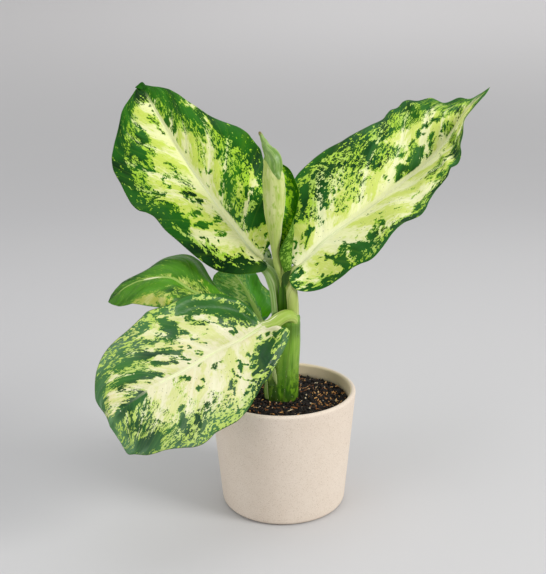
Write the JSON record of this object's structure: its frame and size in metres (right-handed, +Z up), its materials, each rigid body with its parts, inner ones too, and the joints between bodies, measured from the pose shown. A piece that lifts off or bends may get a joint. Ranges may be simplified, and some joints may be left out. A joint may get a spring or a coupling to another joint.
{
  "type": "potted dieffenbachia",
  "caption": "Small potted foliage plant: broad cream and green variegated leaves on a short sheathed stem, in a plain straight-sided stoneware pot.",
  "frame": {"origin": "centre of the pot's flat foot, on the surface it stands on", "axes": "+Z up along the pot's axis; the front leaf reaches towards -Y and -X, the two tall leaves lean towards +Y"},
  "size_m": [0.343, 0.2453, 0.3681],
  "materials": {
    "pot": "matt unglazed stoneware with fine speckle",
    "soil": "dark crumbly potting mix with bark chips",
    "stem": "satin green sheaths with pale streaks",
    "leaf_pale": "satin leaf, cream with green blotches",
    "leaf_speckled": "satin leaf, yellow-green with dark speckle",
    "leaf_dark": "satin leaf, mostly green",
    "leaf_young": "soft young leaf, pale cream green",
    "old_sheath": "dry thin sheath"
  },
  "bodies": {
    "root": {"pot": "pot", "soil": "soil", "stem": "stem", "leaf_front_left": "leaf_pale", "leaf_upper_left": "leaf_speckled", "leaf_upper_right": "leaf_speckled", "leaf_left": "leaf_dark", "leaf_back_left": "leaf_dark", "leaf_back_small": "leaf_pale", "leaf_unfurling": "leaf_young", "basal_scale_front": "old_sheath", "basal_scale_side": "old_sheath"}
  },
  "joints": []
}
